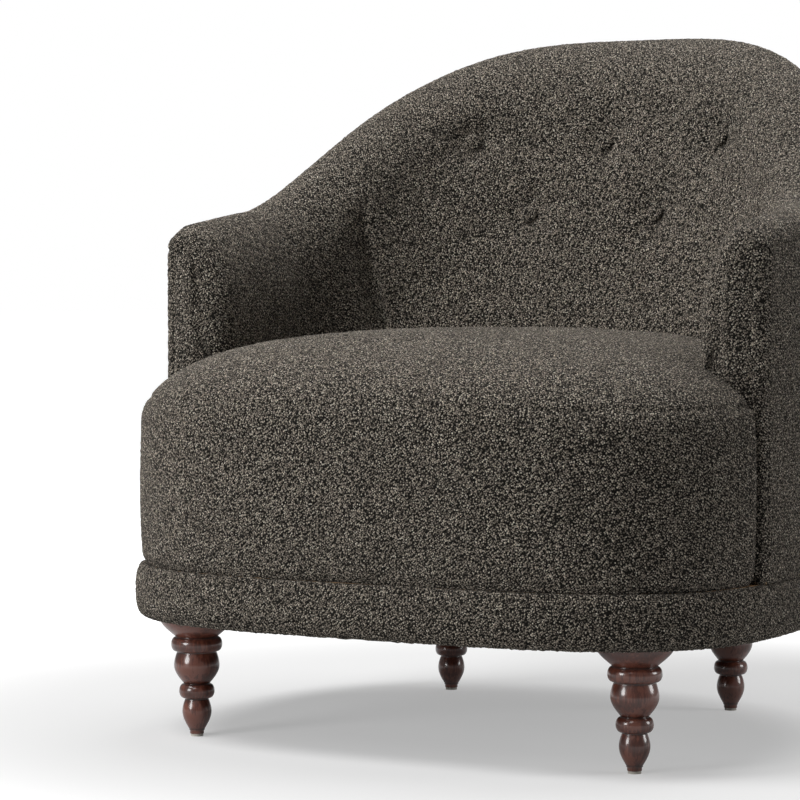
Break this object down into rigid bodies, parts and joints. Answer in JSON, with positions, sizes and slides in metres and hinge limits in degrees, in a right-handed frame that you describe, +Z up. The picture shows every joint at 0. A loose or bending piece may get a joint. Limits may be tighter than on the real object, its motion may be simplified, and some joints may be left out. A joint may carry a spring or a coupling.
{
  "type": "upholstered armchair",
  "caption": "Barrel armchair with a bow-fronted tight seat, tufted arched back, padded base band and short turned wooden legs.",
  "frame": {"origin": "on the floor, under the middle of the chair's bounding box", "axes": "+Z up, -Y towards the front of the seat, +X to the right as seen by someone who faces the front of the chair"},
  "size_m": [0.808, 0.7974, 0.859],
  "materials": {
    "boucle": "boucle weave in grey brown with pale flecks, matt",
    "walnut_stain": "walnut stain under satin lacquer",
    "frame_wood": "planed, unfinished",
    "foam": "open cell upholstery foam",
    "steel": "zinc plated wire and hardware",
    "nylon": "moulded nylon",
    "webbing": "woven elastic webbing",
    "deck_cloth": "plain woven cloth",
    "dust_cloth": "black non-woven cloth",
    "twine": "waxed twine"
  },
  "bodies": {
    "root": {"leg_front_left": "walnut_stain", "leg_front_right": "walnut_stain", "leg_rear_left": "walnut_stain", "leg_rear_right": "walnut_stain", "leg_glides": "nylon", "hanger_bolts": "steel", "tee_nuts": "steel", "corner_blocks": "frame_wood", "front_rail": "frame_wood", "side_rail_left": "frame_wood", "side_rail_right": "frame_wood", "rear_rail": "frame_wood", "seat_rail": "frame_wood", "arm_post_left": "frame_wood", "arm_post_right": "frame_wood", "back_post_left": "frame_wood", "back_post_right": "frame_wood", "back_post_middle": "frame_wood", "back_top_rail": "frame_wood", "arm_rail_left": "frame_wood", "arm_rail_right": "frame_wood", "back_webbing": "webbing", "seat_springs": "steel", "spring_clips": "steel", "seat_deck": "deck_cloth", "dust_cover": "dust_cloth", "seat_foam": "foam", "seat_cover": "boucle", "back_foam": "foam", "arm_foam_left": "foam", "arm_foam_right": "foam", "inside_back_cover": "boucle", "inside_arm_cover_left": "boucle", "inside_arm_cover_right": "boucle", "outside_back_cover": "boucle", "outside_arm_cover_left": "boucle", "outside_arm_cover_right": "boucle", "arm_front_panel_left": "boucle", "arm_front_panel_right": "boucle", "base_band": "boucle", "button_upper_left": "boucle", "button_upper_middle": "boucle", "button_upper_right": "boucle", "button_lower_left": "boucle", "button_lower_right": "boucle", "button_twines": "twine"}
  },
  "joints": []
}
